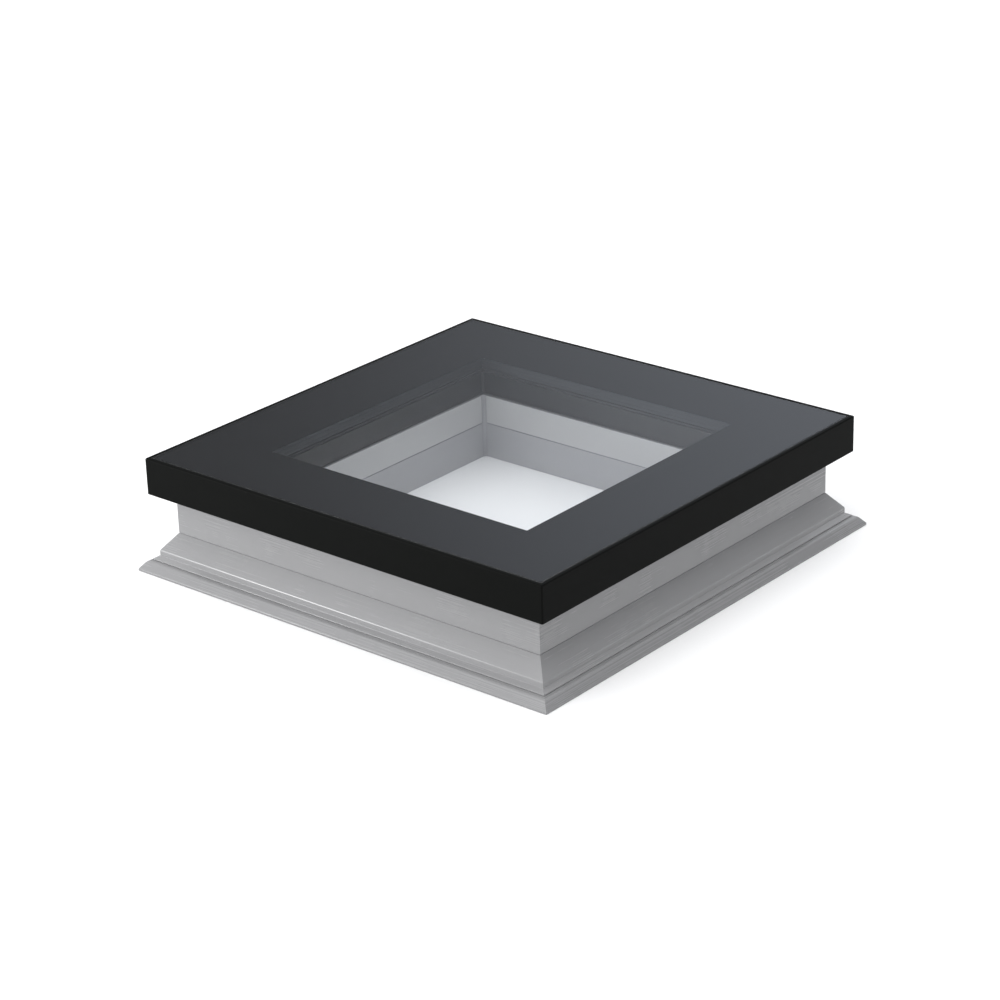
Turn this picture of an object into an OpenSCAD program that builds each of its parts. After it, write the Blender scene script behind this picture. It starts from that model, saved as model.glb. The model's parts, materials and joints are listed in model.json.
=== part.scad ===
// Fixed roof skylight: a flat stepped glazing unit in a dark cap, carried by a
// sash on an insulated kerb of two stacked profiles with a foot and an apron.
// The origin is the centre of the underside, +Z is up and the front faces -Y.
//
// Most pieces are bars that run round the four sides and meet at mitres. Each
// bar is drawn as a section for the front side: its first coordinate is the
// distance outwards from the kerb's outer wall, its second the height.

/* [Kerb] */
// Width of the kerb over its outer walls
kerb_w = 600; // [480:10:1500]
// Depth of the kerb over its outer walls
kerb_d = 600; // [480:10:1500]
// Thickness of the kerb, from the outer wall to the light shaft
kerb_t = 89; // [85:1:110]
// Height of the base profile
base_h = 50; // [40:1:90]
// Height of the upper profile beside the light shaft
upper_h = 41; // [30:1:90]
// Height of the weather upstand on the upper profile
upstand_h = 28; // [22:1:36]
// Thickness of the weather upstand
upstand_t = 36; // [30:1:42]
// Wall of the hollow plastic profiles
wall = 2.5; // [2:0.1:3]
// Radius of the sealing beads in the shaft's corners
bead_r = 5; // [3:0.5:8]

/* [Foot] */
// How far the shoulder of the foot stands out
shoulder_out = 18.7; // [14:0.1:22]
// Height of the shoulder's upper edge
shoulder_top = 27; // [25:0.5:32]
// Height of the shoulder's lower edge, where the toe starts
shoulder_low = 19.4; // [18:0.1:22]
// How far the toe stands out
toe_out = 25.5; // [23:0.1:27]
// Height of the toe's edge
toe_top = 16; // [15.5:0.1:17]
// Thickness of the toe's edge
toe_t = 1.5; // [1:0.1:2]
// Depth of the groove under the toe that holds the apron
groove_depth = 6; // [4:0.5:8]

/* [Apron] */
// How far the apron's tip stands out
apron_out = 39.5; // [36:0.5:60]
// Thickness of the apron strip
apron_t = 2; // [1.5:0.1:2.2]
// How far the apron's bend stands out
bend_out = 31; // [29:0.5:34]
// Drop of the apron from the groove to the bend
bend_drop = 1.2; // [0:0.1:2]
// Height of the upright edge at the apron's tip
tip_h = 3; // [2:0.5:4]

/* [Glazing] */
// Thickness of the outer pane
outer_pane_t = 6; // [4:1:10]
// Gap between the two panes
cavity = 16; // [12:1:20]
// Thickness of each ply of the laminated inner pane
ply_t = 3; // [3:1:5]
// Thickness of the film between the plies
film_t = 0.8; // [0.4:0.4:1.6]
// Thickness of the glazing tapes
tape_t = 3; // [2:0.5:4]
// Width of the spacer bar
spacer_w = 7; // [6:0.5:8]
// Wall of the spacer bar
spacer_wall = 1; // [0.6:0.1:1.2]
// Width of the edge seal outside the spacer
seal_w = 8; // [6:1:10]
// Distance of the spacer behind the shaft wall
spacer_back = 2; // [1:0.5:4]

/* [Sash] */
// Distance of the sash behind the shaft wall
sash_back = 1; // [0.5:0.5:3]
// Height of the sash below the inner pane
sash_nose_h = 30.7; // [28:0.1:40]
// Width of the setting blocks between inner pane and sash
block_w = 8; // [6:1:10]
// Thickness of the gaskets between sash and kerb
gasket_t = 2.5; // [2:0.5:4]

/* [Cap] */
// How far the cap stands out from the kerb wall
cap_out = 26; // [22:1:35]
// Height of the cap's skirt, from the glass down
skirt_h = 50; // [45:1:60]
// Wall of the aluminium cap
cap_wall = 2; // [1.5:0.1:2.5]
// Width of the cap's lip beside the glass
lip_w = 5; // [4:0.5:6]
// Radius of the cap's outer edges
edge_r = 2; // [2:0.1:4.5]
// Width of the sealant bead round the outer pane
bead_w = 2; // [1:0.5:3]
// How far the bead lies below the glass
bead_drop = 0.4; // [0:0.1:1]

/* [Hardware] */
// Radius of the machine and plate screws
screw_r = 2; // [1.5:0.25:2.5]
// Length of those screws under the head
screw_len = 12; // [10:1:16]
// Radius of the long tie screws
tie_r = 2.5; // [2:0.25:3]
// How far a tie screw reaches into the base profile
tie_reach = 12; // [8:1:16]
// Gap round a screw in its hole
screw_gap = 0.1; // [0.05:0.05:0.2]
// Width of a hold-down strap
strap_w = 30; // [24:1:40]
// Height of a hold-down strap
strap_h = 26; // [24:1:30]
// Thickness of a hold-down strap
strap_t = 1.5; // [1:0.5:2]
// Leg of the corner cleats
cleat_leg = 45; // [35:1:60]
// Leg of the keys in the spacer's corners
key_leg = 25; // [15:1:35]

/* [Hidden] */
$fn = 48;
SIDES = ["front", "right", "back", "left"];
// Pieces made once for each side
BARS = [
    "spacer", "sash", "cap", "kerb_upper", "core_upper", "kerb_base", "core_base", "apron"
];
// Sheets, rings and sets of small pieces
SINGLES = [
    "outer_pane", "inner_pane_upper", "interlayer", "inner_pane_lower", "spacer_keys",
    "desiccant", "edge_seal", "edge_bead", "structural_tape", "bedding_tape",
    "setting_blocks", "sash_cleats", "sash_beads", "sash_gasket", "upstand_gasket",
    "cap_cleats", "cap_screws", "straps", "strap_screws", "tie_screws", "joint_tape",
    "shaft_beads"
];

// Clearances
core_gap = 0.5;      // round an insulation core and a cleat
groove_gap = 0.3;    // round the apron in its groove
desiccant_gap = 0.2; // round the desiccant and the keys in the spacer
far = 500;           // a length beyond every section, for cutting

// Tapes, gaskets and seals
joint_t = 1;         // thickness of the tape between the two kerb profiles
joint_recess = 0.5;  // of that tape behind both walls
gasket_w = 14;       // width of both gaskets
gasket_edge = 5;     // of the inner gasket behind the shaft wall
tape_w = 30;         // width of the structural tape
tape_edge = 4;       // of that tape inside the kerb wall
bedding_edge = 1;    // of the bedding tape behind the spacer
bedding_w = 12;      // width of the bedding tape

// Heights, from the underside up
z_upper = base_h + joint_t;
z_floor = z_upper + upper_h;
z_upstand = z_floor + upstand_h;
z_sash = z_floor + gasket_t;
z_step = z_upstand + gasket_t;
z_ledge = z_sash + sash_nose_h;
z_inner = z_ledge + tape_t;
z_film = z_inner + ply_t;
z_ply = z_film + film_t;
z_cavity = z_ply + ply_t;
z_outer = z_cavity + cavity;
z_top = z_outer + outer_pane_t;
z_web = z_outer - tape_t;
z_seat = z_web - cap_wall;
z_chamber = max(z_ledge, z_step + wall);

// Insets across a section
step_gap = 2;        // between the sash and the weather upstand
web_edge = 14;       // of the cap's web outside the sash's riser
cap_screw_edge = 6;  // of the cap's screws inside that web
tie_edge = 16;       // of the tie screws outside the inner gasket
cleat_edge = 20;     // of the sash's cleats inside their chamber
cleat_w = 24;        // width of a sash cleat's leg
cap_cleat_h = 18;    // height of a cap cleat

// Places outwards from the kerb's outer wall
shaft = -kerb_t;
spacer_in = shaft + spacer_back;
spacer_out = spacer_in + spacer_w;
inner_edge = spacer_out + seal_w;
riser = inner_edge + block_w;
sash_in = shaft + sash_back;
upstand_in = -upstand_t;
sash_step = upstand_in - step_gap;
pane_edge = cap_out - lip_w - bead_w;
web_in = riser + web_edge;
cap_screw_at = web_in + cap_screw_edge;
tape_out = -tape_edge;
gasket_in = shaft + gasket_edge;
tie_at = gasket_in + gasket_w + tie_edge;
groove_low = toe_top - toe_t - apron_t - groove_gap * 2;
groove_in = shoulder_out - groove_depth;
foot_rib = groove_in - wall;

// Screw heads, from the screws' own radius
head_r = screw_r * 2;
head_t = 2;
tie_head_r = tie_r * 1.8;
tie_head_t = 2;

// Places along a side, measured from the kerb's corner
strap_in = 120;
tie_in = 150;
cap_screw_in = 85;
block_in = 150;
block_len = 60;
strap_z = z_upstand + gasket_t / 2;
strap_pitch = 16;
strap_screw_z = [strap_z - strap_pitch / 2, strap_z + strap_pitch / 2];

// ---- Placing on the four sides ----

// Length of side i over the kerb wall, and how far that wall is from the centre
function side_len(i) = i % 2 == 0 ? kerb_w : kerb_d;
function side_off(i) = (i % 2 == 0 ? kerb_d : kerb_w) / 2;
function pair(i, inset) = [-side_len(i) / 2 + inset, side_len(i) / 2 - inset];

module on_side(i) {
    rotate([0, 0, 90 * i]) translate([0, -side_off(i), 0]) children();
}

// A corner of the kerb, with +X and +Y pointing outwards
module on_corners() {
    for (x = [0, 1], y = [0, 1])
        mirror([x, 0, 0]) mirror([0, y, 0])
            translate([kerb_w / 2, kerb_d / 2, 0]) children();
}

// Runs a 2D section along side i, square at both ends
module run(i, over = 0) {
    length = side_len(i) + 2 * over;
    translate([length / 2, 0, 0]) rotate([90, 0, -90]) linear_extrude(length) children();
}

// Keeps what lies between the mitres of side i, less a gap at each mitre
module between_mitres(i, gap = 0) {
    half = side_len(i) / 2 - gap;
    deep = side_off(i) - 1;
    intersection() {
        children();
        translate([0, 0, -far]) linear_extrude(2 * far) polygon([
            [-half + deep, deep], [half - deep, deep], [half + far, -far], [-half - far, -far]
        ]);
    }
}

// A mitred bar on side i from a 2D section
module bar(i, gap = 0) {
    on_side(i) between_mitres(i, gap) run(i, apron_out + 1) children();
}

// A closed ring of one section, as a vulcanised gasket or a poured seal
module ring() {
    for (i = [0:3]) bar(i) children();
}

// A flat rectangular sheet with its edge at a given distance from the kerb wall
module sheet(edge, z, t) {
    translate([0, 0, z + t / 2]) cube([kerb_w + 2 * edge, kerb_d + 2 * edge, t], center = true);
}

// A rectangle in a section, from its low corner to its high corner
module slab(low, high) {
    translate(low) square(high - low);
}

// An upright hole or shank, with its top at z
module upright(r, z, length) {
    translate([0, 0, z - length]) cylinder(r = r, h = length);
}

// A level hole or shank that points inwards from the distance out
module level(r, out, length) {
    translate([0, -out, 0]) rotate([-90, 0, 0]) cylinder(r = r, h = length);
}

// A pan head: a low cylinder with a domed edge and a cross recess half as deep
// as the head, seat at z = 0
module pan_head(r, t) {
    slot = r / 4;
    difference() {
        rotate_extrude() difference() {
            square([r, t]);
            translate([r - t / 2, t / 2]) difference() {
                square(t);
                circle(t / 2);
            }
        }
        for (turn = [0, 90])
            rotate([0, 0, turn]) translate([0, 0, t]) cube([r, slot, t], center = true);
    }
}

// ---- Glazing unit ----

module outer_pane() {
    color([0.62, 0.7, 0.72, 0.45]) sheet(pane_edge, z_outer, outer_pane_t);
}

module inner_pane_upper() {
    color([0.75, 0.85, 0.85, 0.4]) sheet(inner_edge, z_ply, ply_t);
}

module interlayer() {
    color([0.8, 0.9, 0.9, 0.4]) sheet(inner_edge, z_film, film_t);
}

module inner_pane_lower() {
    color([0.75, 0.85, 0.85, 0.4]) sheet(inner_edge, z_inner, ply_t);
}

module spacer(i) {
    color([0.3, 0.31, 0.32]) bar(i) difference() {
        slab([spacer_in, z_cavity], [spacer_out, z_outer]);
        slab([spacer_in + spacer_wall, z_cavity + spacer_wall],
             [spacer_out - spacer_wall, z_outer - spacer_wall]);
    }
}

// The keys fill the spacer's corners from the inside
module spacer_keys() {
    near = spacer_in + spacer_wall + desiccant_gap;
    out = spacer_out - spacer_wall - desiccant_gap;
    low = z_cavity + spacer_wall;
    color([0.7, 0.7, 0.72]) on_corners()
        translate([0, 0, low]) linear_extrude(cavity - 2 * spacer_wall - desiccant_gap)
            polygon([
                [out, out], [near - key_leg, out], [near - key_leg, near],
                [near, near], [near, near - key_leg], [out, near - key_leg]
            ]);
}

module desiccant() {
    side = spacer_wall + desiccant_gap;
    clear = key_leg + 1;
    color([0.85, 0.8, 0.7]) for (i = [0:3])
        on_side(i) run(i, spacer_in + side - clear) slab(
            [spacer_in + side, z_cavity + spacer_wall],
            [spacer_out - side, z_outer - side]
        );
}

module edge_seal() {
    color([0.08, 0.08, 0.08]) ring() slab([spacer_out, z_cavity], [inner_edge, z_outer]);
}

module edge_bead() {
    color([0.05, 0.05, 0.05]) ring()
        slab([pane_edge, z_outer], [pane_edge + bead_w, z_top - bead_drop]);
}

module structural_tape() {
    color([0.1, 0.1, 0.1]) ring() slab([tape_out - tape_w, z_web], [tape_out, z_outer]);
}

module bedding_tape() {
    color([0.1, 0.1, 0.1]) ring()
        slab([spacer_in + bedding_edge, z_ledge], [spacer_in + bedding_edge + bedding_w, z_inner]);
}

module setting_blocks() {
    color([0.15, 0.15, 0.16]) for (i = [0:3], x = pair(i, block_in)) on_side(i)
        translate([x - block_len / 2, -riser, z_ledge])
            cube([block_len, block_w, tape_t + 2 * ply_t + film_t]);
}

// ---- Sash ----

module strap_bores(i) {
    for (x = pair(i, strap_in), z = strap_screw_z)
        on_side(i) translate([x, 0, z]) level(screw_r + screw_gap, 1, screw_len + 1);
}

module sash(i) {
    color([0.07, 0.07, 0.075]) difference() {
        bar(i) difference() {
            polygon([
                [sash_in, z_sash], [sash_in, z_ledge], [riser, z_ledge], [riser, z_seat],
                [0, z_seat], [0, z_step], [sash_step, z_step], [sash_step, z_sash]
            ]);
            slab([sash_in + wall, z_sash + wall], [sash_step - wall, z_ledge - wall]);
            slab([riser + wall, z_chamber], [-wall, z_seat - wall]);
        }
        strap_bores(i);
        for (x = cap_screw_places(i)) on_side(i)
            translate([x, -cap_screw_at, 0]) upright(screw_r + screw_gap, z_seat + 1, wall + 2);
    }
}

// An angle in each corner of the sash's upper chamber
module sash_cleats() {
    near = riser + wall + cleat_edge;
    out = near + cleat_w;
    color([0.72, 0.73, 0.75]) on_corners()
        translate([0, 0, z_chamber]) linear_extrude(z_seat - wall - z_chamber - core_gap)
            polygon([
                [out, out], [near - cleat_leg, out], [near - cleat_leg, near],
                [near, near], [near, near - cleat_leg], [out, near - cleat_leg]
            ]);
}

// A concave bead along an upright inside corner
module corner_bead(at, low, high) {
    translate([at - bead_r, at - bead_r, low]) difference() {
        cube([bead_r, bead_r, high - low]);
        translate([0, 0, -1]) cylinder(r = bead_r, h = high - low + 2);
    }
}

module sash_beads() {
    color([0.06, 0.06, 0.06]) on_corners() corner_bead(sash_in, z_sash, z_ledge);
}

module sash_gasket() {
    color([0.05, 0.05, 0.05]) ring() slab([gasket_in, z_floor], [gasket_in + gasket_w, z_sash]);
}

module upstand_gasket() {
    middle = -upstand_t / 2;
    color([0.05, 0.05, 0.05]) ring()
        slab([middle - gasket_w / 2, z_upstand], [middle + gasket_w / 2, z_step]);
}

// ---- Cap ----

function cap_screw_places(i) = concat(pair(i, cap_screw_in), [0]);

module cap_section() {
    difference() {
        polygon([
            [cap_out, z_top - skirt_h], [cap_out, z_top], [cap_out - lip_w, z_top],
            [cap_out - lip_w, z_top - lip_w], [cap_out - cap_wall, z_top - lip_w],
            [cap_out - cap_wall, z_web], [web_in, z_web], [web_in, z_seat],
            [cap_out - cap_wall, z_seat], [cap_out - cap_wall, z_top - skirt_h]
        ]);
        translate([cap_out - edge_r, z_top - edge_r]) difference() {
            square(edge_r + 1);
            circle(edge_r);
        }
    }
}

// The rounded upright corner of the cap, about its own axis
module cap_corner() {
    axis = cap_out - edge_r;
    rotate_extrude(angle = 90) intersection() {
        translate([-axis, 0]) cap_section();
        square([edge_r, z_top]);
    }
}

module cap(i) {
    axis = cap_out - edge_r;
    color([0.11, 0.115, 0.12]) difference() {
        on_side(i) between_mitres(i) union() {
            run(i, axis) cap_section();
            for (turn = [0, 1]) mirror([turn, 0, 0])
                translate([side_len(i) / 2 + axis, -axis, 0]) rotate([0, 0, -90]) cap_corner();
        }
        for (x = cap_screw_places(i)) on_side(i)
            translate([x, -cap_screw_at, 0])
                upright(screw_r + screw_gap, z_web + 1, cap_wall + 2);
    }
}

// An angle behind the skirt in each corner, under the cap's web
module cap_cleats() {
    at = cap_out - cap_wall;
    ease = max(edge_r - cap_wall, 0) + core_gap;
    t = cap_wall;
    color([0.72, 0.73, 0.75]) on_corners()
        translate([at, at, z_seat - cap_cleat_h]) linear_extrude(cap_cleat_h) polygon([
            [-cleat_leg, 0], [-ease, 0], [0, -ease], [0, -cleat_leg],
            [-t, -cleat_leg], [-t, -ease - t], [-ease - t, -t], [-cleat_leg, -t]
        ]);
}

module cap_screws() {
    color([0.75, 0.76, 0.78]) for (i = [0:3], x = cap_screw_places(i)) on_side(i)
        translate([x, -cap_screw_at, 0]) {
            upright(screw_r, z_web, screw_len);
            translate([0, 0, z_web]) pan_head(head_r, head_t);
        }
}

// ---- Hold-down straps ----

module straps() {
    color([0.7, 0.72, 0.74]) for (i = [0:3], x = pair(i, strap_in)) on_side(i)
        difference() {
            translate([x - strap_w / 2, -strap_t, strap_z - strap_h / 2])
                cube([strap_w, strap_t, strap_h]);
            for (z = strap_screw_z)
                translate([x, 0, z]) level(screw_r + screw_gap, strap_t + 1, strap_t + 2);
        }
}

module strap_screws() {
    color([0.75, 0.76, 0.78]) for (i = [0:3], x = pair(i, strap_in), z = strap_screw_z)
        on_side(i) translate([x, 0, z]) {
            level(screw_r, strap_t, screw_len);
            translate([0, -strap_t, 0]) rotate([90, 0, 0]) pan_head(head_r, head_t);
        }
}

// ---- Kerb ----

// The long screws' places, for the holes as well
module at_ties(i) {
    for (x = pair(i, tie_in)) on_side(i) translate([x, -tie_at, 0]) children();
}

module tie_bores(i) {
    length = z_floor - base_h + tie_reach + 2;
    at_ties(i) upright(tie_r + screw_gap, z_floor + 1, length);
}

module kerb_upper(i) {
    color([0.74, 0.74, 0.75]) difference() {
        bar(i) difference() {
            union() {
                slab([shaft, z_upper], [0, z_floor]);
                slab([upstand_in, z_upper], [0, z_upstand]);
            }
            slab([shaft + wall, z_upper + wall], [-wall, z_floor - wall]);
            slab([upstand_in + wall, z_floor], [-wall, z_upstand - wall]);
        }
        strap_bores(i);
        tie_bores(i);
    }
}

module core_upper(i) {
    side = wall + core_gap;
    color([0.93, 0.93, 0.9]) difference() {
        bar(i) slab([shaft + side, z_upper + wall], [-side, z_floor - side]);
        tie_bores(i);
    }
}

module tie_screws() {
    color([0.75, 0.76, 0.78]) for (i = [0:3]) at_ties(i) {
        upright(tie_r, z_floor, z_floor - base_h + tie_reach);
        translate([0, 0, z_floor]) pan_head(tie_head_r, tie_head_t);
    }
}

module joint_tape() {
    color([0.3, 0.3, 0.31]) difference() {
        ring() slab([shaft + joint_recess, base_h], [-joint_recess, z_upper]);
        for (i = [0:3]) tie_bores(i);
    }
}

// The foot: a slope, a shoulder and a toe with the apron's groove under it
module base_section() {
    toe_under = toe_top - toe_t;
    grade = (base_h - shoulder_top) / shoulder_out;
    skin = wall / cos(atan(grade));
    difference() {
        polygon([
            [shaft, 0], [shoulder_out, 0], [shoulder_out, groove_low],
            [groove_in, groove_low], [groove_in, toe_under], [toe_out, toe_under],
            [toe_out, toe_top], [shoulder_out, shoulder_low], [shoulder_out, shoulder_top],
            [0, base_h], [shaft, base_h]
        ]);
        slab([shaft + wall, wall], [-wall, base_h - wall]);
        polygon([
            [0, wall], [foot_rib, wall], [foot_rib, toe_under + wall],
            [shoulder_out - wall, toe_under + wall],
            [shoulder_out - wall, base_h - skin - grade * (shoulder_out - wall)],
            [0, base_h - skin]
        ]);
    }
}

module kerb_base(i) {
    color([0.74, 0.74, 0.75]) difference() {
        bar(i) base_section();
        tie_bores(i);
    }
}

module core_base(i) {
    side = wall + core_gap;
    color([0.93, 0.93, 0.9]) difference() {
        bar(i) slab([shaft + side, wall], [-side, base_h - side]);
        tie_bores(i);
    }
}

module shaft_beads() {
    color([0.72, 0.72, 0.73]) on_corners() corner_bead(shaft, 0, z_floor);
}

// The underside of a strip of thickness t below its bend at p, where it turns
// from a fall of a degrees to one of b degrees
function under_bend(p, t, a, b) =
    p - t / cos((b - a) / 2) * [sin((a + b) / 2), cos((a + b) / 2)];

// The apron starts in the groove under the toe and bends down to the roof
module apron(i) {
    top = toe_top - toe_t - groove_gap;
    start = groove_in + groove_gap;
    toe = [toe_out, top];
    bend = [bend_out, top - bend_drop];
    ease = atan2(bend_drop, bend_out - toe_out);
    fall = atan2(bend.y - tip_h, apron_out - bend_out);
    skin = apron_t / sin(fall);
    color([0.76, 0.76, 0.77]) bar(i) polygon([
        [start, top - apron_t], [start, top], toe, bend, [apron_out, tip_h],
        [apron_out, 0], [apron_out - skin, 0], [apron_out - skin, tip_h],
        under_bend(bend, apron_t, ease, fall), under_bend(toe, apron_t, 0, ease)
    ]);
}

// ---- Output ----

outer_pane();
inner_pane_upper();
interlayer();
inner_pane_lower();
spacer_keys();
desiccant();
edge_seal();
edge_bead();
structural_tape();
bedding_tape();
setting_blocks();
sash_cleats();
sash_beads();
sash_gasket();
upstand_gasket();
cap_cleats();
cap_screws();
straps();
strap_screws();
tie_screws();
joint_tape();
shaft_beads();
for (i = [0:3]) {
    spacer(i);
    sash(i);
    cap(i);
    kerb_upper(i);
    core_upper(i);
    kerb_base(i);
    core_base(i);
    apron(i);
}
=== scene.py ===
import json
import math

import bmesh
import bpy
from mathutils import Matrix, Vector

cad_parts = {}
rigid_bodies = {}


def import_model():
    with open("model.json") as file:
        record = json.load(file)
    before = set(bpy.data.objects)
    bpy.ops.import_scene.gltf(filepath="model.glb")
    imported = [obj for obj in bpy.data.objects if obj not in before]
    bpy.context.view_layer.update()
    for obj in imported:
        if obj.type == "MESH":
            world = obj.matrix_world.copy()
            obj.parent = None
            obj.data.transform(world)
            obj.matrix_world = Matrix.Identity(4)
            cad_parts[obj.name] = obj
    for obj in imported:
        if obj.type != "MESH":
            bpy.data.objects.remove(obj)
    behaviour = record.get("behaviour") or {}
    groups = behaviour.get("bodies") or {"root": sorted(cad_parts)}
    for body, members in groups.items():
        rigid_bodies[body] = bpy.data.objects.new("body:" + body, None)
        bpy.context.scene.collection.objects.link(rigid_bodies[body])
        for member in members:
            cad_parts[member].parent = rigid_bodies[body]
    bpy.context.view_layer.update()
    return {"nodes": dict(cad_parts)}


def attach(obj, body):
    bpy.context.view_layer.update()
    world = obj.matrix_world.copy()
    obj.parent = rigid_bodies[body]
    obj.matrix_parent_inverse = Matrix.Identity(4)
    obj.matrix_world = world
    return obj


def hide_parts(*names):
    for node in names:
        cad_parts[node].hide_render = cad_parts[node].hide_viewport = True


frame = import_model()
nodes = frame["nodes"]
mm = 0.001
sides = ("front", "right", "back", "left")
samePlace = 0.001 * mm
print("frame loaded:", len(nodes), "nodes")


# Camera: a long lens from above the front right corner

cameraSizes = {
    "place": (2.2426, -2.6666, 1.5666),
    "azimuth": 40.165,
    "elevation": 23.273,
    "roll": 1.619,
    "lens": 104.706,
    "sensor": 36,
}


def placeCamera(sizes):
    data = bpy.data.cameras.new("studioCamera")
    data.lens = sizes["lens"]
    data.sensor_width = sizes["sensor"]
    data.clip_start = 0.05
    data.clip_end = 50
    camera = bpy.data.objects.new("studioCamera", data)
    bpy.context.scene.collection.objects.link(camera)
    tilt = Matrix.Rotation(math.radians(90 - sizes["elevation"]), 4, "X")
    turn = Matrix.Rotation(math.radians(sizes["azimuth"]), 4, "Z")
    roll = Matrix.Rotation(math.radians(-sizes["roll"]), 4, "Z")
    camera.matrix_world = Matrix.Translation(sizes["place"]) @ turn @ tilt @ roll
    bpy.context.scene.camera = camera


placeCamera(cameraSizes)
bpy.context.scene.view_settings.view_transform = "Standard"
print("camera placed")


# Nodes and colours

def linearColour(text):
    levels = [int(text[i:i + 2], 16) / 255 for i in (1, 3, 5)]
    return [v / 12.92 if v <= 0.04045 else ((v + 0.055) / 1.055) ** 2.4 for v in levels] + [1]


def addNode(tree, kind, inputs=None, **settings):
    node = tree.nodes.new(kind)
    for name, value in settings.items():
        setattr(node, name, value)
    for name, value in (inputs or {}).items():
        if isinstance(value, bpy.types.NodeSocket):
            tree.links.new(value, node.inputs[name])
        else:
            node.inputs[name].default_value = value
    return node


def startMaterial(name, colour, **levels):
    material = bpy.data.materials.new(name)
    material.use_nodes = True
    material.diffuse_color = linearColour(colour)
    tree = material.node_tree
    shader = tree.nodes["Principled BSDF"]
    shader.inputs["Base Color"].default_value = linearColour(colour)
    for socket, value in levels.items():
        shader.inputs[socket.replace("_", " ")].default_value = value
    return material, tree, shader


# Coordinates that run along a bar on any side: across its section, then its height
def alongBars(tree):
    place = addNode(tree, "ShaderNodeTexCoord").outputs["Object"]
    parts = addNode(tree, "ShaderNodeSeparateXYZ", {0: place})
    across = addNode(tree, "ShaderNodeMath", {0: parts.outputs[0]}, operation="ABSOLUTE")
    deep = addNode(tree, "ShaderNodeMath", {0: parts.outputs[1]}, operation="ABSOLUTE")
    out = addNode(tree, "ShaderNodeMath", {0: across.outputs[0], 1: deep.outputs[0]},
                  operation="MAXIMUM")
    along = addNode(tree, "ShaderNodeMath", {0: across.outputs[0], 1: deep.outputs[0]},
                    operation="MINIMUM")
    return addNode(tree, "ShaderNodeCombineXYZ",
                   {0: out.outputs[0], 1: along.outputs[0], 2: parts.outputs[2]}).outputs[0]


def objectPlace(tree):
    return addNode(tree, "ShaderNodeTexCoord").outputs["Object"]


# A noise whose grains are a given size, the same in every direction or stretched
def addGrain(tree, place, grain, stretch=(1, 1, 1), detail=3):
    scaled = addNode(tree, "ShaderNodeVectorMath",
                     {0: place, 1: [1 / (grain * mm * s) for s in stretch]},
                     operation="MULTIPLY")
    return addNode(tree, "ShaderNodeTexNoise",
                   {"Vector": scaled.outputs[0], "Scale": 1.0, "Detail": detail}).outputs["Fac"]


def shadeByGrain(tree, shader, grain, colours, roughness):
    ramp = addNode(tree, "ShaderNodeMix", {"Factor": grain}, data_type="RGBA")
    ramp.inputs[6].default_value = linearColour(colours[0])
    ramp.inputs[7].default_value = linearColour(colours[1])
    tree.links.new(ramp.outputs[2], shader.inputs["Base Color"])
    gloss = addNode(tree, "ShaderNodeMapRange",
                    {"Value": grain, "To Min": roughness[0], "To Max": roughness[1]})
    tree.links.new(gloss.outputs[0], shader.inputs["Roughness"])


def raiseGrain(tree, shader, grain, strength, depth):
    bump = addNode(tree, "ShaderNodeBump",
                   {"Height": grain, "Strength": strength, "Distance": depth * mm})
    tree.links.new(bump.outputs[0], shader.inputs["Normal"])


# Glass

# Soft light and lamps reach what lies behind a pane, as they do in a real room
def passSoftLight(tree, seen, passed):
    rays = addNode(tree, "ShaderNodeLightPath")
    soft = addNode(tree, "ShaderNodeMath", {0: rays.outputs["Is Shadow Ray"],
                                            1: rays.outputs["Is Diffuse Ray"]},
                   operation="MAXIMUM")
    clear = addNode(tree, "ShaderNodeBsdfTransparent", {"Color": linearColour(passed)})
    mixed = addNode(tree, "ShaderNodeMixShader",
                    {0: soft.outputs[0], 1: seen, 2: clear.outputs[0]})
    tree.links.new(mixed.outputs[0], tree.nodes["Material Output"].inputs["Surface"])


# Clear toughened float: a smooth skin that mirrors the room at a low angle, and
# a body that is nearly without colour
def toughenedFloat():
    material, tree, shader = startMaterial("toughenedFloat", "#FCFCFC", Roughness=0.004,
                                           IOR=1.52, Transmission_Weight=1.0)
    passSoftLight(tree, shader.outputs[0], "#FDFDFD")
    return material


# Float with an anti-reflection coat, as on the faces inside a glazing unit: it
# bends what is seen through it but mirrors next to nothing
def coatedFloat():
    material, tree, shader = startMaterial("coatedFloat", "#F9FAFB")
    coated = addNode(tree, "ShaderNodeBsdfRefraction",
                     {"Color": linearColour("#F9FAFB"), "Roughness": 0.004, "IOR": 1.52})
    tree.nodes.remove(shader)
    passSoftLight(tree, coated.outputs[0], "#FCFCFC")
    return material


# The edge of a pane, ground matt all round and dark against its sealant
def groundFloat():
    material, tree, shader = startMaterial("groundFloat", "#1E2120", IOR=1.52,
                                           Specular_IOR_Level=0.1)
    shadeByGrain(tree, shader, addGrain(tree, objectPlace(tree), 0.6),
                 ("#1A1D1C", "#232625"), (0.6, 0.75))
    return material


# Black ceramic enamel, screen printed and fired: dense, with a faint mottle
def firedEnamel():
    material, tree, shader = startMaterial("ceramicEnamel", "#0E0F11", IOR=1.5,
                                           Specular_IOR_Level=0.05)
    mottle = addGrain(tree, objectPlace(tree), 9)
    shadeByGrain(tree, shader, mottle, ("#0C0D0F", "#131416"), (0.3, 0.4))
    return material


# Metals

# Aluminium with a fine matt black powder coat: the baked grains are a tenth of
# a millimetre, drawn four times as coarse so that they show
def powderCoat():
    material, tree, shader = startMaterial("blackPowderCoat", "#0B0C0B", IOR=1.5,
                                           Specular_IOR_Level=0.03)
    place = objectPlace(tree)
    shadeByGrain(tree, shader, addGrain(tree, place, 25), ("#0A0B0A", "#0D0E0D"), (0.4, 0.48))
    raiseGrain(tree, shader, addGrain(tree, place, 0.4), 0.12, 0.02)
    return material


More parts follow.
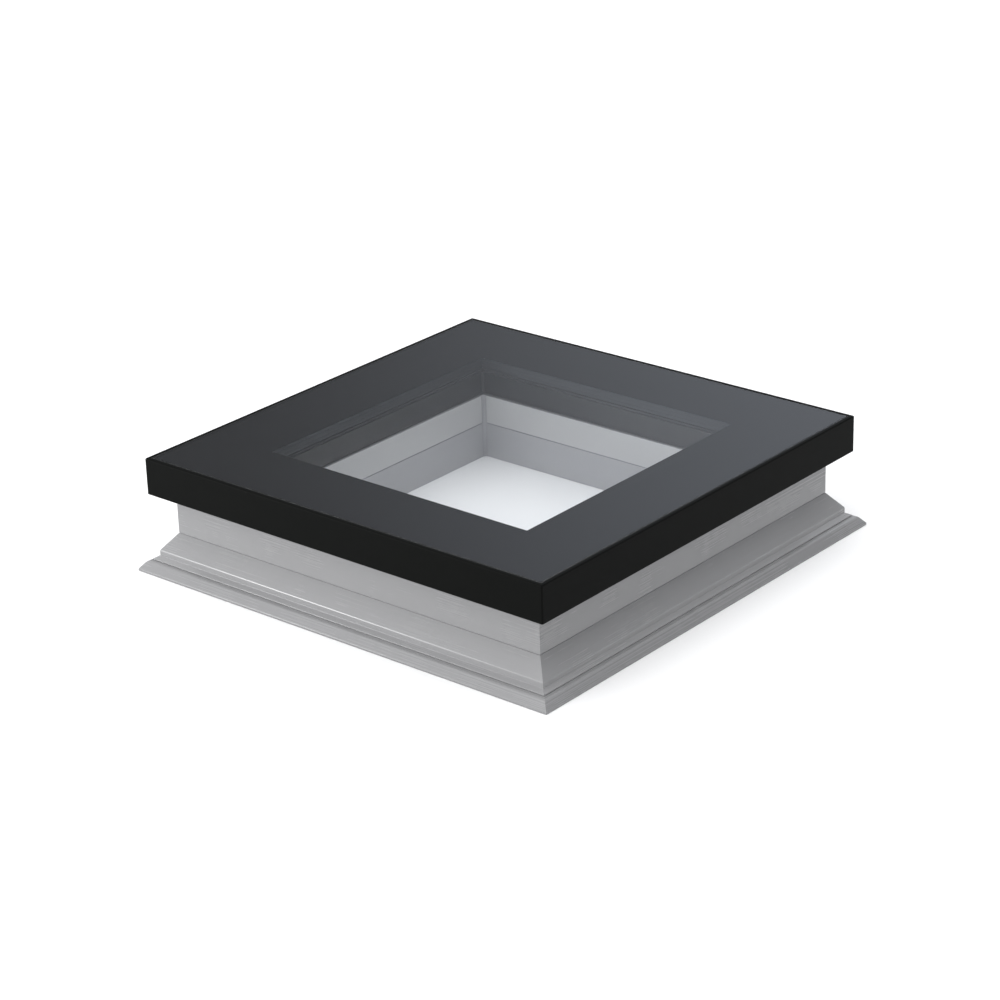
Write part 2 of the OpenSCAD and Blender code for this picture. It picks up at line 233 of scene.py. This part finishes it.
breathingHoles = {"radius": 0.6, "pitch": 6, "height": 143, "rowGap": 5}


# Dark anodised aluminium spacer, rolled, with two rows of breathing holes on the side that
# faces the gap; the holes are not cut but painted as dark spots, painted shade for the hollow
# behind each
def anodisedSpacer(holes):
    material, tree, shader = startMaterial("darkAnodisedSpacer", "#3A3D40", Metallic=0.6,
                                           Specular_IOR_Level=0.2)
    place = alongBars(tree)
    lines = addGrain(tree, place, 0.5, (1, 60, 1))
    parts = addNode(tree, "ShaderNodeSeparateXYZ", {0: place})
    pitch = addNode(tree, "ShaderNodeMath",
                    {0: parts.outputs[1], 1: holes["pitch"] / 2 * mm}, operation="PINGPONG")
    away = addNode(tree, "ShaderNodeMath", {0: parts.outputs[2], 1: holes["height"] * mm},
                   operation="SUBTRACT")
    height = addNode(tree, "ShaderNodeMath", {0: away.outputs[0]}, operation="ABSOLUTE")
    row = addNode(tree, "ShaderNodeMath", {0: height.outputs[0], 1: holes["rowGap"] / 2 * mm},
                  operation="SUBTRACT")
    flat = addNode(tree, "ShaderNodeCombineXYZ", {0: pitch.outputs[0], 1: row.outputs[0]})
    reach = addNode(tree, "ShaderNodeVectorMath", {0: flat.outputs[0]}, operation="LENGTH")
    # painted shade: a near-black spot where each hole would show the dark hollow
    paintedHoleShade = addNode(tree, "ShaderNodeMath",
                   {0: reach.outputs["Value"], 1: holes["radius"] * mm},
                   operation="LESS_THAN")
    shade = addNode(tree, "ShaderNodeMix", {"Factor": paintedHoleShade.outputs[0]}, data_type="RGBA")
    shade.inputs[6].default_value = linearColour("#3A3D40")
    shade.inputs[7].default_value = linearColour("#0A0A0A")
    tree.links.new(shade.outputs[2], shader.inputs["Base Color"])
    gloss = addNode(tree, "ShaderNodeMapRange",
                    {"Value": lines, "To Min": 0.35, "To Max": 0.5})
    tree.links.new(gloss.outputs[0], shader.inputs["Roughness"])
    raiseGrain(tree, shader, lines, 0.2, 0.02)
    return material


# Mill finish aluminium: pale, with drawn lines and a dull oxide
def millAluminium():
    material, tree, shader = startMaterial("millAluminium", "#C9CBCD", Metallic=1.0)
    lines = addGrain(tree, objectPlace(tree), 0.6, (1, 1, 30))
    shadeByGrain(tree, shader, lines, ("#BDBFC2", "#D2D4D6"), (0.35, 0.5))
    raiseGrain(tree, shader, lines, 0.15, 0.02)
    return material


# Steel with a bright zinc plate: small spangles, a little blue
def zincSteel():
    material, tree, shader = startMaterial("zincPlatedSteel", "#B9BEC4", Metallic=1.0)
    cells = addNode(tree, "ShaderNodeTexVoronoi",
                    {"Vector": objectPlace(tree), "Scale": 1 / (2.5 * mm)})
    shadeByGrain(tree, shader, cells.outputs["Distance"], ("#AEB4BA", "#C4C9CE"), (0.28, 0.42))
    return material


# Plastics

# Rigid light grey PVC, extruded: a satin skin with faint die lines that run
# along each profile; the lines are 0.3 mm apart, drawn at 1.2 mm
def extrudedPvc(name, low, high, gloss, grain=1.2):
    material, tree, shader = startMaterial(name, low, IOR=1.54)
    place = alongBars(tree)
    lines = addGrain(tree, place, grain, (1, 400, 1), 2)
    cloud = addGrain(tree, objectPlace(tree), 60, detail=2)
    mixed = addNode(tree, "ShaderNodeMath", {0: lines, 1: cloud}, operation="MULTIPLY")
    spread = addNode(tree, "ShaderNodeMapRange",
                     {"Value": mixed.outputs[0], "From Min": 0.1, "From Max": 0.45})
    shadeByGrain(tree, shader, spread.outputs[0], (low, high), gloss)
    raiseGrain(tree, shader, lines, 0.01, 0.02)
    return material


# Moulded plastic or soft rubber with a fine even grain
def mouldedGrain(name, low, high, gloss, grain=0.8, depth=0.05, ior=1.5):
    material, tree, shader = startMaterial(name, low, IOR=ior)
    place = objectPlace(tree)
    shadeByGrain(tree, shader, addGrain(tree, place, 14), (low, high), gloss)
    raiseGrain(tree, shader, addGrain(tree, place, grain), 0.4, depth)
    return material


# Foam: round cells pressed together, 3 mm in a core and 1 mm in a drying bead
def beadedFoam(name, low, high, cell):
    material, tree, shader = startMaterial(name, low, IOR=1.45, Roughness=0.8)
    cells = addNode(tree, "ShaderNodeTexVoronoi",
                    {"Vector": objectPlace(tree), "Scale": 1 / (cell * mm)})
    shadeByGrain(tree, shader, cells.outputs["Distance"], (high, low), (0.7, 0.9))
    raiseGrain(tree, shader, cells.outputs["Distance"], 0.6, cell * 0.2)
    return material


outerGlass = toughenedFloat()
coatedGlass = coatedFloat()
groundGlass = groundFloat()
enamel = firedEnamel()
powder = powderCoat()
spacerMetal = anodisedSpacer(breathingHoles)
aluminium = millAluminium()
zinc = zincSteel()
kerbPvc = extrudedPvc("lightGreyPvc", "#868687", "#89898A", (0.26, 0.28))
# painted light: paler greys on the shaft side stand in for light reaching the shaft, the upper
# paler than the lower as painted fall-off down the shaft
shaftPaintedLightPvc = {"kerbUpper": extrudedPvc("paleGreyPvc", "#BCBCBC", "#C2C2C2", (0.34, 0.42)),
            "kerbBase": extrudedPvc("midGreyPvc", "#A8A8AA", "#ADADAF", (0.34, 0.42))}
apronPvc = extrudedPvc("softGreyPvc", "#828283", "#858586", (0.26, 0.29))
sashPvc = extrudedPvc("blackPvc", "#0E0E0F", "#131314", (0.45, 0.55))
keyPlastic = mouldedGrain("blackPolyamide", "#1A1A1C", "#222224", (0.4, 0.55))
sealant = mouldedGrain("blackSilicone", "#0B0B0C", "#121213", (0.35, 0.5), 1.5, 0.05, 1.43)
shaftSealant = mouldedGrain("greySilicone", "#9C9C9E", "#A4A4A6", (0.4, 0.55), 1.5, 0.05, 1.43)
tape = mouldedGrain("darkFoamTape", "#2A2B2D", "#343537", (0.7, 0.85), 0.9, 0.15)
jointFoam = mouldedGrain("greyFoamTape", "#868688", "#8E8E90", (0.7, 0.85), 0.9, 0.1)
rubber = mouldedGrain("blackRubber", "#101011", "#171718", (0.6, 0.75))
insulation = beadedFoam("beadFoam", "#E6E6E2", "#C9C9C4", 3)
dryingBeads = beadedFoam("dryingBeads", "#CDBFA6", "#9C8F78", 1)
print("materials made")


# Modelling, in edit mode

def clearSelection():
    bpy.ops.object.select_all(action="DESELECT")


def pick(mode, test):
    bpy.ops.mesh.select_mode(type=mode)
    bpy.ops.mesh.select_all(action="DESELECT")
    mesh = bpy.context.edit_object.data
    edited = bmesh.from_edit_mesh(mesh)
    items = {"VERT": edited.verts, "EDGE": edited.edges, "FACE": edited.faces}[mode]
    for item in items:
        if test(item):
            item.select_set(True)
    bmesh.update_edit_mesh(mesh)


def centre(item):
    return sum((v.co for v in item.verts), Vector()) / len(item.verts)


def near(a, b, reach=0.02):
    return abs(a - b) < reach * mm


# Starts an object with nothing in its mesh
def startPiece(name):
    clearSelection()
    bpy.ops.mesh.primitive_plane_add(size=mm)
    piece = bpy.context.object
    piece.name = name
    piece.data.name = name
    bpy.ops.object.mode_set(mode="EDIT")
    bpy.ops.mesh.delete(type="VERT")
    return piece


# Walks one vertex round an outline of (out, up, rounding) and closes it
def drawOutline(outline, segments):
    bpy.ops.mesh.select_mode(type="VERT")
    here = Vector((outline[0][0], 0, outline[0][1])) * mm
    bpy.ops.mesh.primitive_plane_add(size=mm, location=here)
    bpy.ops.mesh.merge(type="CENTER")
    for corner in outline[1:]:
        there = Vector((corner[0], 0, corner[1])) * mm
        bpy.ops.mesh.extrude_region_move(TRANSFORM_OT_translate={"value": there - here})
        here = there
    bpy.ops.mesh.select_all(action="SELECT")
    bpy.ops.mesh.edge_face_add()
    for radius in sorted({corner[2] for corner in outline if corner[2]}):
        spots = [c for c in outline if c[2] == radius]
        pick("VERT", lambda v: not v.hide and any(
            near(v.co.x, c[0] * mm) and near(v.co.z, c[1] * mm) for c in spots))
        bpy.ops.mesh.bevel(offset=radius * mm, offset_type="OFFSET", segments=segments,
                           affect="VERTICES")
    bpy.ops.mesh.select_all(action="SELECT")
    bpy.ops.mesh.delete(type="ONLY_FACE")


# Turns an outline about the upright axis in four straight steps: a square ring
# with true mitres. It is made wider first, because a section is longer there
def turnRing():
    bpy.ops.mesh.select_all(action="SELECT")
    bpy.ops.transform.resize(value=(math.sqrt(2), 1, 1), center_override=(0, 0, 0))
    bpy.ops.transform.rotate(value=math.radians(45), orient_axis="Z",
                             center_override=(0, 0, 0))
    bpy.ops.mesh.select_all(action="SELECT")
    bpy.ops.mesh.spin(steps=4, angle=math.tau, center=(0, 0, 0), axis=(0, 0, 1))
    bpy.ops.mesh.select_all(action="SELECT")
    bpy.ops.mesh.remove_doubles(threshold=samePlace)
    bpy.ops.mesh.normals_make_consistent(inside=False)


def makeRing(name, outline, hollows=(), segments=3, ease=0):
    piece = startPiece(name)
    drawOutline(outline, segments)
    turnRing()
    bpy.ops.object.mode_set(mode="OBJECT")
    if ease:
        addModifier(piece, "BEVEL", width=ease * mm, segments=3, limit_method="ANGLE",
                    angle_limit=math.radians(31), miter_outer="MITER_SHARP")
    bpy.ops.object.mode_set(mode="EDIT")
    for hollow in hollows:
        bpy.ops.mesh.select_all(action="SELECT")
        bpy.ops.mesh.hide(unselected=False)
        drawOutline(hollow, segments)
        turnRing()
        bpy.ops.mesh.reveal(select=False)
    bpy.ops.object.mode_set(mode="OBJECT")
    return piece


def addModifier(piece, kind, **settings):
    modifier = piece.modifiers.new(kind.lower(), kind)
    for key, value in settings.items():
        setattr(modifier, key, value)
    bpy.context.view_layer.objects.active = piece
    bpy.ops.object.modifier_apply(modifier=modifier.name)


# Keeps what lies between the two front mitres, then closes each cut round its
# hollows
def cutFrontBar():
    bpy.ops.object.mode_set(mode="EDIT")
    for across in (1, -1):
        bpy.ops.mesh.select_mode(type="FACE")
        bpy.ops.mesh.select_all(action="SELECT")
        bpy.ops.mesh.bisect(plane_co=(0, 0, 0), plane_no=(across, 1, 0), clear_outer=True,
                            threshold=samePlace)
    for across in (1, -1):
        pick("EDGE", lambda e: e.is_boundary and all(
            near(across * v.co.x, -v.co.y) for v in e.verts))
        bpy.ops.mesh.fill(use_beauty=False)
    bpy.ops.mesh.select_all(action="SELECT")
    bpy.ops.mesh.normals_make_consistent(inside=False)
    bpy.ops.object.mode_set(mode="OBJECT")


# Flat faces stay flat and rounded edges read round
def smoothPiece(piece, angle=40):
    clearSelection()
    piece.select_set(True)
    bpy.context.view_layer.objects.active = piece
    bpy.ops.object.shade_smooth_by_angle(angle=math.radians(angle))
    addModifier(piece, "WEIGHTED_NORMAL", mode="FACE_AREA", weight=80, keep_sharp=True)


def dress(piece, material, slotName, *replaced):
    piece.data.materials.clear()
    piece.data.materials.append(material)
    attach(piece, "root")
    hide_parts(*replaced)


# Gives some of a piece's faces another finish
def finishFaces(piece, material, test):
    piece.data.materials.append(material)
    bpy.context.view_layer.objects.active = piece
    bpy.ops.object.mode_set(mode="EDIT")
    pick("FACE", test)
    piece.active_material_index = len(piece.data.materials) - 1
    bpy.ops.object.material_slot_assign()
    bpy.ops.object.mode_set(mode="OBJECT")


# A copy with its own mesh, turned about the upright axis by quarter turns
def turnedCopy(piece, quarters):
    clearSelection()
    piece.select_set(True)
    bpy.context.view_layer.objects.active = piece
    bpy.ops.object.duplicate(linked=False)
    copy = bpy.context.object
    copy.rotation_euler.z = math.radians(90 * quarters)
    bpy.ops.object.transform_apply(location=True, rotation=True, scale=True)
    return copy


# Copies the front bar to the other sides
def copyRound(piece, name, node, material, slotName):
    for turn, side in enumerate(sides):
        bar = turnedCopy(piece, turn)
        bar.name = name + side.capitalize()
        bar.data.name = bar.name
        dress(bar, material, slotName, node + "_" + side)
    bpy.data.objects.remove(piece)


def makeBars(name, node, outline, hollows, material, slotName, segments=3, ease=0):
    piece = makeRing(name, outline, hollows, segments, ease)
    cutFrontBar()
    smoothPiece(piece)
    copyRound(piece, name, node, material, slotName)
    print(name, "bars made")


# A flat sheet with small corners and ground edges
def makeSheet(name, sizes):
    clearSelection()
    low, high, half = sizes["low"] * mm, sizes["high"] * mm, sizes["half"] * mm
    bpy.ops.mesh.primitive_cube_add(size=1, location=(0, 0, (low + high) / 2),
                                    scale=(2 * half, 2 * half, high - low))
    piece = bpy.context.object
    piece.name = name
    piece.data.name = name
    bpy.ops.object.transform_apply(location=True, rotation=True, scale=True)
    bpy.ops.object.mode_set(mode="EDIT")
    pick("EDGE", lambda e: near(e.verts[0].co.x, e.verts[1].co.x)
         and near(e.verts[0].co.y, e.verts[1].co.y))
    bpy.ops.mesh.bevel(offset=sizes["corner"] * mm, segments=4)
    pick("EDGE", lambda e: near(e.verts[0].co.z, e.verts[1].co.z))
    bpy.ops.mesh.bevel(offset=sizes["arris"] * mm, segments=2)
    bpy.ops.object.mode_set(mode="OBJECT")
    smoothPiece(piece, 30)
    return piece


# Glazing unit

outerPane = {"half": 319, "low": 151, "high": 157, "corner": 0.8, "arris": 0.5}
innerPane = {"half": 228, "low": 128.2, "high": 135, "corner": 0.8, "arris": 0.4}
enamelSizes = {"half": 318.6, "width": 107.6, "low": 151.03, "thick": 0.12}
spacerSection = [
    (213, 135, 0.4), (213, 139.4, 0), (213.35, 139.8, 0), (213, 140.2, 0),
    (213, 145.8, 0), (213.35, 146.2, 0), (213, 146.6, 0), (213, 151, 0.4),
    (218.4, 151, 0), (220, 148.8, 0), (220, 137.2, 0), (218.4, 135, 0),
]
spacerHollow = [
    (214, 136, 0.3), (214, 150, 0.3), (218, 150, 0), (219, 148.5, 0), (219, 137.5, 0),
    (218, 136, 0),
]


dress(makeSheet("outerPane", outerPane), outerGlass, "outer_glass", "outer_pane")
finishFaces(bpy.data.objects["outerPane"], coatedGlass, lambda f: f.normal.z < -0.9)
finishFaces(bpy.data.objects["outerPane"], groundGlass, lambda f: abs(f.normal.z) < 0.9)
dress(makeSheet("laminatedPane", innerPane), coatedGlass, "inner_glass",
      "inner_pane_lower", "interlayer", "inner_pane_upper")


# The printed border lies in the lower face of the outer pane
def makeEnamel(sizes):
    clearSelection()
    bpy.ops.mesh.primitive_plane_add(size=2 * sizes["half"] * mm,
                                     location=(0, 0, sizes["low"] * mm))
    piece = bpy.context.object
    piece.name = piece.data.name = "enamelBorder"
    bpy.ops.object.transform_apply(location=True, rotation=True, scale=True)
    bpy.ops.object.mode_set(mode="EDIT")
    bpy.ops.mesh.select_mode(type="FACE")
    bpy.ops.mesh.select_all(action="SELECT")
    bpy.ops.mesh.inset(thickness=sizes["width"] * mm)
    bpy.ops.mesh.delete(type="FACE")
    pick("FACE", lambda f: True)
    bpy.ops.mesh.extrude_region_move(
        TRANSFORM_OT_translate={"value": (0, 0, sizes["thick"] * mm)})
    bpy.ops.mesh.select_all(action="SELECT")
    bpy.ops.mesh.normals_make_consistent(inside=False)
    bpy.ops.object.mode_set(mode="OBJECT")
    piece.data.materials.append(enamel)
    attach(piece, "root")


makeEnamel(enamelSizes)
makeBars("spacer", "spacer", spacerSection, [spacerHollow], spacerMetal, "spacer_metal")
print("glazing unit made")


# Seals, tapes and gaskets, one ring each: (out, up, rounding)

ringSections = {
    "edgeSeal": ("edge_seal", sealant, "sealant", [
        (220, 135, 0), (228, 135, 0.5), (227.4, 139, 0), (227.2, 143, 0), (227.4, 147, 0),
        (228, 151, 0.5), (220, 151, 0)]),
    "edgeBead": ("edge_bead", sealant, "sealant", [
        (319, 151, 0), (321, 151, 0), (321, 156.72, 0.15), (320.5, 156.46, 0.3),
        (320, 156.38, 0), (319.5, 156.46, 0.3), (319, 156.72, 0.15)]),
    "structuralTape": ("structural_tape", tape, "glazing_tape", [
        (266, 148, 0.5), (296, 148, 0.5), (296, 151, 0.5), (266, 151, 0.5)]),
    "beddingTape": ("bedding_tape", tape, "glazing_tape", [
        (214, 125.2, 0.5), (226, 125.2, 0.5), (226, 128.2, 0.5), (214, 128.2, 0.5)]),
    "jointTape": ("joint_tape", jointFoam, "glazing_tape", [
        (211.5, 50, 0.2), (299.5, 50, 0.2), (299.5, 51, 0.2), (211.5, 51, 0.2)]),
    "sashGasket": ("sash_gasket", rubber, "gasket_rubber", [
        (216, 92, 0.4), (230, 92, 0.4), (230, 93.4, 0.5), (226, 94.5, 0.5), (224, 93.6, 0.3),
        (222, 93.6, 0.3), (220, 94.5, 0.5), (216, 93.4, 0.5)]),
    "upstandGasket": ("upstand_gasket", rubber, "gasket_rubber", [
        (275, 120, 0.4), (289, 120, 0.4), (289, 121.4, 0.5), (285, 122.5, 0.5),
        (283, 121.6, 0.3), (281, 121.6, 0.3), (279, 122.5, 0.5), (275, 121.4, 0.5)]),
}

for name, (node, material, slotName, outline) in ringSections.items():
    ring = makeRing(name, outline)
    smoothPiece(ring)
    dress(ring, material, slotName, node)
    print(name, "ring made")


# Cap: a rounded block hollowed from both sides to a lip, a wall and a web

capSizes = {
    "half": 326, "low": 107, "high": 157, "round": 2, "segments": 5, "lip": 5,
    "wall": 2, "webLow": 146, "webHigh": 148, "webIn": 250, "edge": 0.5, "cornerReach": 0.5,
}


def makeCap(sizes):
    clearSelection()
    low, high, half = sizes["low"] * mm, sizes["high"] * mm, sizes["half"] * mm
    bpy.ops.mesh.primitive_cube_add(size=1, location=(0, 0, (low + high) / 2),
                                    scale=(2 * half, 2 * half, high - low))
    piece = bpy.context.object
    bpy.ops.object.transform_apply(location=True, rotation=True, scale=True)
    bpy.ops.object.mode_set(mode="EDIT")
    pick("EDGE", lambda e: not (near(e.verts[0].co.z, low) and near(e.verts[1].co.z, low)))
    bpy.ops.mesh.bevel(offset=sizes["round"] * mm, segments=sizes["segments"])

    # from above: the lip, then the wall behind it down to the web
    pick("FACE", lambda f: near(centre(f).z, high) and f.normal.z > 0.9)
    bpy.ops.mesh.inset(thickness=(sizes["lip"] - sizes["round"]) * mm)
    bpy.ops.mesh.extrude_region_move(
        TRANSFORM_OT_translate={"value": (0, 0, -sizes["lip"] * mm)})
    spread = (sizes["half"] - sizes["wall"]) / (sizes["half"] - sizes["lip"])
    bpy.ops.mesh.extrude_region_move(TRANSFORM_OT_translate={"value": (0, 0, 0)})
    bpy.ops.transform.resize(value=(spread, spread, 1), center_override=(0, 0, 0))
    deep = sizes["high"] - sizes["lip"] - sizes["webHigh"]
    bpy.ops.mesh.extrude_region_move(TRANSFORM_OT_translate={"value": (0, 0, -deep * mm)})
    bpy.ops.mesh.inset(thickness=(sizes["half"] - sizes["wall"] - sizes["webIn"]) * mm)
    thick = sizes["webHigh"] - sizes["webLow"]
    bpy.ops.mesh.extrude_region_move(TRANSFORM_OT_translate={"value": (0, 0, -thick * mm)})
    bpy.ops.mesh.delete(type="FACE")

    # from below: the wall's thickness, then up behind the skirt to the web
    pick("FACE", lambda f: near(centre(f).z, low) and f.normal.z < -0.9)
    bpy.ops.mesh.inset(thickness=sizes["wall"] * mm)
    # the rounding is as deep as the wall, so each inner corner comes to one point
    inner, reach = half - sizes["wall"] * mm, sizes["cornerReach"]
    for x, y in ((inner, inner), (inner, -inner), (-inner, inner), (-inner, -inner)):
        pick("VERT", lambda v: near(v.co.x, x, reach) and near(v.co.y, y, reach)
             and near(v.co.z, low))
        bpy.ops.mesh.merge(type="CENTER")
    pick("FACE", lambda f: near(centre(f).z, low) and near(centre(f).x, 0, 1)
         and near(centre(f).y, 0, 1))
    rise = sizes["webLow"] - sizes["low"]
    bpy.ops.mesh.extrude_region_move(TRANSFORM_OT_translate={"value": (0, 0, rise * mm)})
    bpy.ops.mesh.delete(type="FACE")
    pick("EDGE", lambda e: e.is_boundary)
    bpy.ops.mesh.bridge_edge_loops()

    # the skirt's lower edge is eased
    pick("EDGE", lambda e: near(e.verts[0].co.z, low) and near(e.verts[1].co.z, low)
         and len(e.link_faces) == 2 and e.calc_face_angle(0) > 1)
    bpy.ops.mesh.bevel(offset=sizes["edge"] * mm, segments=2)
    bpy.ops.mesh.select_all(action="SELECT")
    bpy.ops.mesh.normals_make_consistent(inside=False)
    bpy.ops.object.mode_set(mode="OBJECT")
    cutFrontBar()
    smoothPiece(piece)
    copyRound(piece, "cap", "cap", powder, "cap_coating")


makeCap(capSizes)
print("cap made")


# Sash and kerb profiles: (out, up, rounding), each with its hollow chambers

shaftFace = 211

sashSection = [
    (212, 94.5, 0.8), (212, 125.2, 0.8), (236, 125.2, 0), (236, 146, 0.6), (300, 146, 0.6),
    (300, 122.5, 0.6), (262, 122.5, 0), (262, 94.5, 0.8),
]
sashHollows = [
    [(214.5, 97, 0), (214.5, 122.7, 0), (259.5, 122.7, 0), (259.5, 97, 0)],
    [(238.5, 125.2, 0), (238.5, 143.5, 0), (297.5, 143.5, 0), (297.5, 125.2, 0)],
]
upperSection = [
    (211, 51, 0), (211, 92, 0.8), (264, 92, 0), (264, 120, 0.8), (300, 120, 0.8),
    (300, 51, 0),
]
upperHollows = [
    [(213.5, 53.5, 0), (213.5, 89.5, 0), (297.5, 89.5, 0), (297.5, 53.5, 0)],
    [(266.5, 92, 0), (266.5, 117.5, 0), (297.5, 117.5, 0), (297.5, 92, 0)],
]
baseSection = [
    (211, 0, 0), (211, 50, 0), (300, 50, 0), (318.7, 27, 1.2), (318.7, 19.4, 0.4),
    (325.5, 16, 0), (325.5, 14.5, 0), (312.7, 14.5, 0), (312.7, 11.9, 0),
    (318.7, 11.9, 0), (318.7, 0, 0),
]
baseHollows = [
    [(213.5, 2.5, 0), (213.5, 47.5, 0), (297.5, 47.5, 0), (297.5, 2.5, 0)],
    [(300, 2.5, 0), (300, 46.04, 0), (316.2, 26.11, 0), (316.2, 17, 0), (310.2, 17, 0),
     (310.2, 2.5, 0)],
]
apronSection = [
    (313, 12.2, 0), (313, 14.2, 0), (325.5, 14.2, 0), (331, 13, 2), (339.5, 3, 0.5),
    (339.5, 0, 0.3), (336.87, 0, 0.3), (336.87, 3, 0), (329.91, 11.19, 1),
    (325.28, 12.2, 0),
]

makeBars("sash", "sash", sashSection, sashHollows, sashPvc, "sash_plastic")
makeBars("kerbUpper", "kerb_upper", upperSection, upperHollows, kerbPvc, "kerb_plastic",
         ease=0.25)
makeBars("kerbBase", "kerb_base", baseSection, baseHollows, kerbPvc, "kerb_plastic",
         ease=0.25)
makeBars("apron", "apron", apronSection, [], apronPvc, "apron_plastic", segments=4)

# Painted light: the faces towards the shaft are painted paler than the outside, standing in for
# the light that reaches into the shaft, and the upper ones palest, as painted fall-off of light
# down the shaft
for side in sides:
    for bar, finish in shaftPaintedLightPvc.items():
        finishFaces(bpy.data.objects[bar + side.capitalize()], finish,
                    lambda f: near(max(abs(centre(f).x), abs(centre(f).y)), shaftFace * mm))


# Sealing beads in the inside corners, hollow towards the shaft

shaftBeads = {"at": shaftFace, "radius": 5, "low": 0, "high": 92, "steps": 10}
sashBeads = {"at": 212, "radius": 5, "low": 94.5, "high": 125.2, "steps": 10}


def makeBeads(name, sizes):
    piece = startPiece(name)
    at, radius, low = sizes["at"] * mm, sizes["radius"] * mm, sizes["low"] * mm
    axis = (at - radius, at - radius, low)
    bpy.ops.mesh.select_mode(type="VERT")
    bpy.ops.mesh.primitive_plane_add(size=mm, location=(at, at - radius, low))
    bpy.ops.mesh.merge(type="CENTER")
    bpy.ops.mesh.spin(steps=sizes["steps"], angle=math.radians(-90), center=axis,
                      axis=(0, 0, 1))
    bpy.ops.mesh.select_all(action="SELECT")
    bpy.ops.mesh.remove_doubles(threshold=samePlace)
    pick("VERT", lambda v: near(v.co.x, at - radius) and near(v.co.y, at))
    bpy.ops.mesh.extrude_region_move(TRANSFORM_OT_translate={"value": (radius, 0, 0)})
    bpy.ops.mesh.select_all(action="SELECT")
    bpy.ops.mesh.edge_face_add()
    bpy.ops.mesh.extrude_region_move(
        TRANSFORM_OT_translate={"value": (0, 0, sizes["high"] * mm - low)})
    bpy.ops.mesh.select_all(action="SELECT")
    bpy.ops.mesh.normals_make_consistent(inside=False)
    bpy.ops.object.mode_set(mode="OBJECT")
    beads = [piece] + [turnedCopy(piece, turn) for turn in (1, 2, 3)]
    clearSelection()
    for bead in beads:
        bead.select_set(True)
    bpy.context.view_layer.objects.active = piece
    bpy.ops.object.join()
    smoothPiece(piece, 30)
    return piece


dress(makeBeads("shaftBeads", shaftBeads), shaftSealant, "shaft_sealant", "shaft_beads")
dress(makeBeads("sashBeads", sashBeads), sealant, "sealant", "sash_beads")
print("corner beads made")


# CAD pieces that stay, with their finishes

keptFinishes = {
    "spacer_keys": keyPlastic, "setting_blocks": keyPlastic, "desiccant": dryingBeads,
    "sash_cleats": aluminium, "cap_cleats": aluminium, "cap_screws": zinc, "straps": zinc,
    "strap_screws": zinc, "tie_screws": zinc,
}
for side in sides:
    keptFinishes["core_upper_" + side] = insulation
    keptFinishes["core_base_" + side] = insulation

for name, material in keptFinishes.items():
    nodes[name].data.materials.clear()
    nodes[name].data.materials.append(material)
print("kept pieces finished:", len(keptFinishes))


# Floor and light

studio = {
    "floor": 12, "floorDrop": 0.2, "floorColour": "#F2F2F2",
    "edgeLamp": {"place": (-1.6, -2.14, 0.42), "size": 0.3, "watts": 25},
}


def makeFloor(sizes):
    clearSelection()
    bpy.ops.mesh.primitive_plane_add(size=sizes["floor"],
                                     location=(0, 0, -sizes["floorDrop"] * mm))
    floor = bpy.context.object
    floor.name = "studioFloor"
    material, tree, shader = startMaterial("matWhitePaint", sizes["floorColour"],
                                           Roughness=0.9, Specular_IOR_Level=0.1)
    floor.data.materials.append(material)


# A soft room: a pale wall all round, brighter towards each of a few directions
def lightRoom(base, glows):
    world = bpy.data.worlds.new("studioRoom")
    bpy.context.scene.world = world
    world.use_nodes = True
    tree = world.node_tree
    background = tree.nodes["Background"]
    place = addNode(tree, "ShaderNodeTexCoord").outputs["Generated"]
    colour = addNode(tree, "ShaderNodeRGB")
    colour.outputs[0].default_value = [c * base[1] for c in linearColour(base[0])[:3]] + [1]
    total = colour.outputs[0]
    for glow in glows:
        towards = Vector(glow["towards"]).normalized()
        turn = addNode(tree, "ShaderNodeVectorMath", {0: place, 1: towards},
                       operation="DOT_PRODUCT")
        soft = addNode(tree, "ShaderNodeMapRange",
                       {"Value": turn.outputs["Value"],
                        "From Min": math.cos(math.radians(glow["spread"])),
                        "From Max": math.cos(math.radians(glow["core"]))},
                       interpolation_type="SMOOTHSTEP")
        tint = [c * glow["level"] for c in linearColour(glow["colour"])[:3]]
        lit = addNode(tree, "ShaderNodeVectorMath", {0: tint, "Scale": soft.outputs[0]},
                      operation="SCALE")
        total = addNode(tree, "ShaderNodeVectorMath", {0: total, 1: lit.outputs[0]},
                        operation="ADD").outputs[0]
    tree.links.new(total, background.inputs["Color"])


makeFloor(studio)
lightRoom(("#EAEDF3", 0.27), [
    {"towards": (-0.1, -1.0, 0.15), "spread": 85, "core": 30, "level": 0.85,
     "colour": "#FFFFFF"},
    {"towards": (0, 0, 1), "spread": 65, "core": 10, "level": 2.0, "colour": "#FFFFFF"},
    {"towards": (-0.23, 0.89, 0.39), "spread": 30, "core": 6, "level": 0.75,
     "colour": "#E2EAF8"},
])


def hangLamp(name, sizes):
    data = bpy.data.lights.new(name, "AREA")
    data.shape = "SQUARE"
    data.size = sizes["size"]
    data.energy = sizes["watts"]
    lamp = bpy.data.objects.new(name, data)
    lamp.location = sizes["place"]
    lamp.rotation_euler = (-Vector(sizes["place"])).to_track_quat("-Z", "Y").to_euler()
    bpy.context.scene.collection.objects.link(lamp)


hangLamp("edgeLamp", studio["edgeLamp"])
print("room lit")
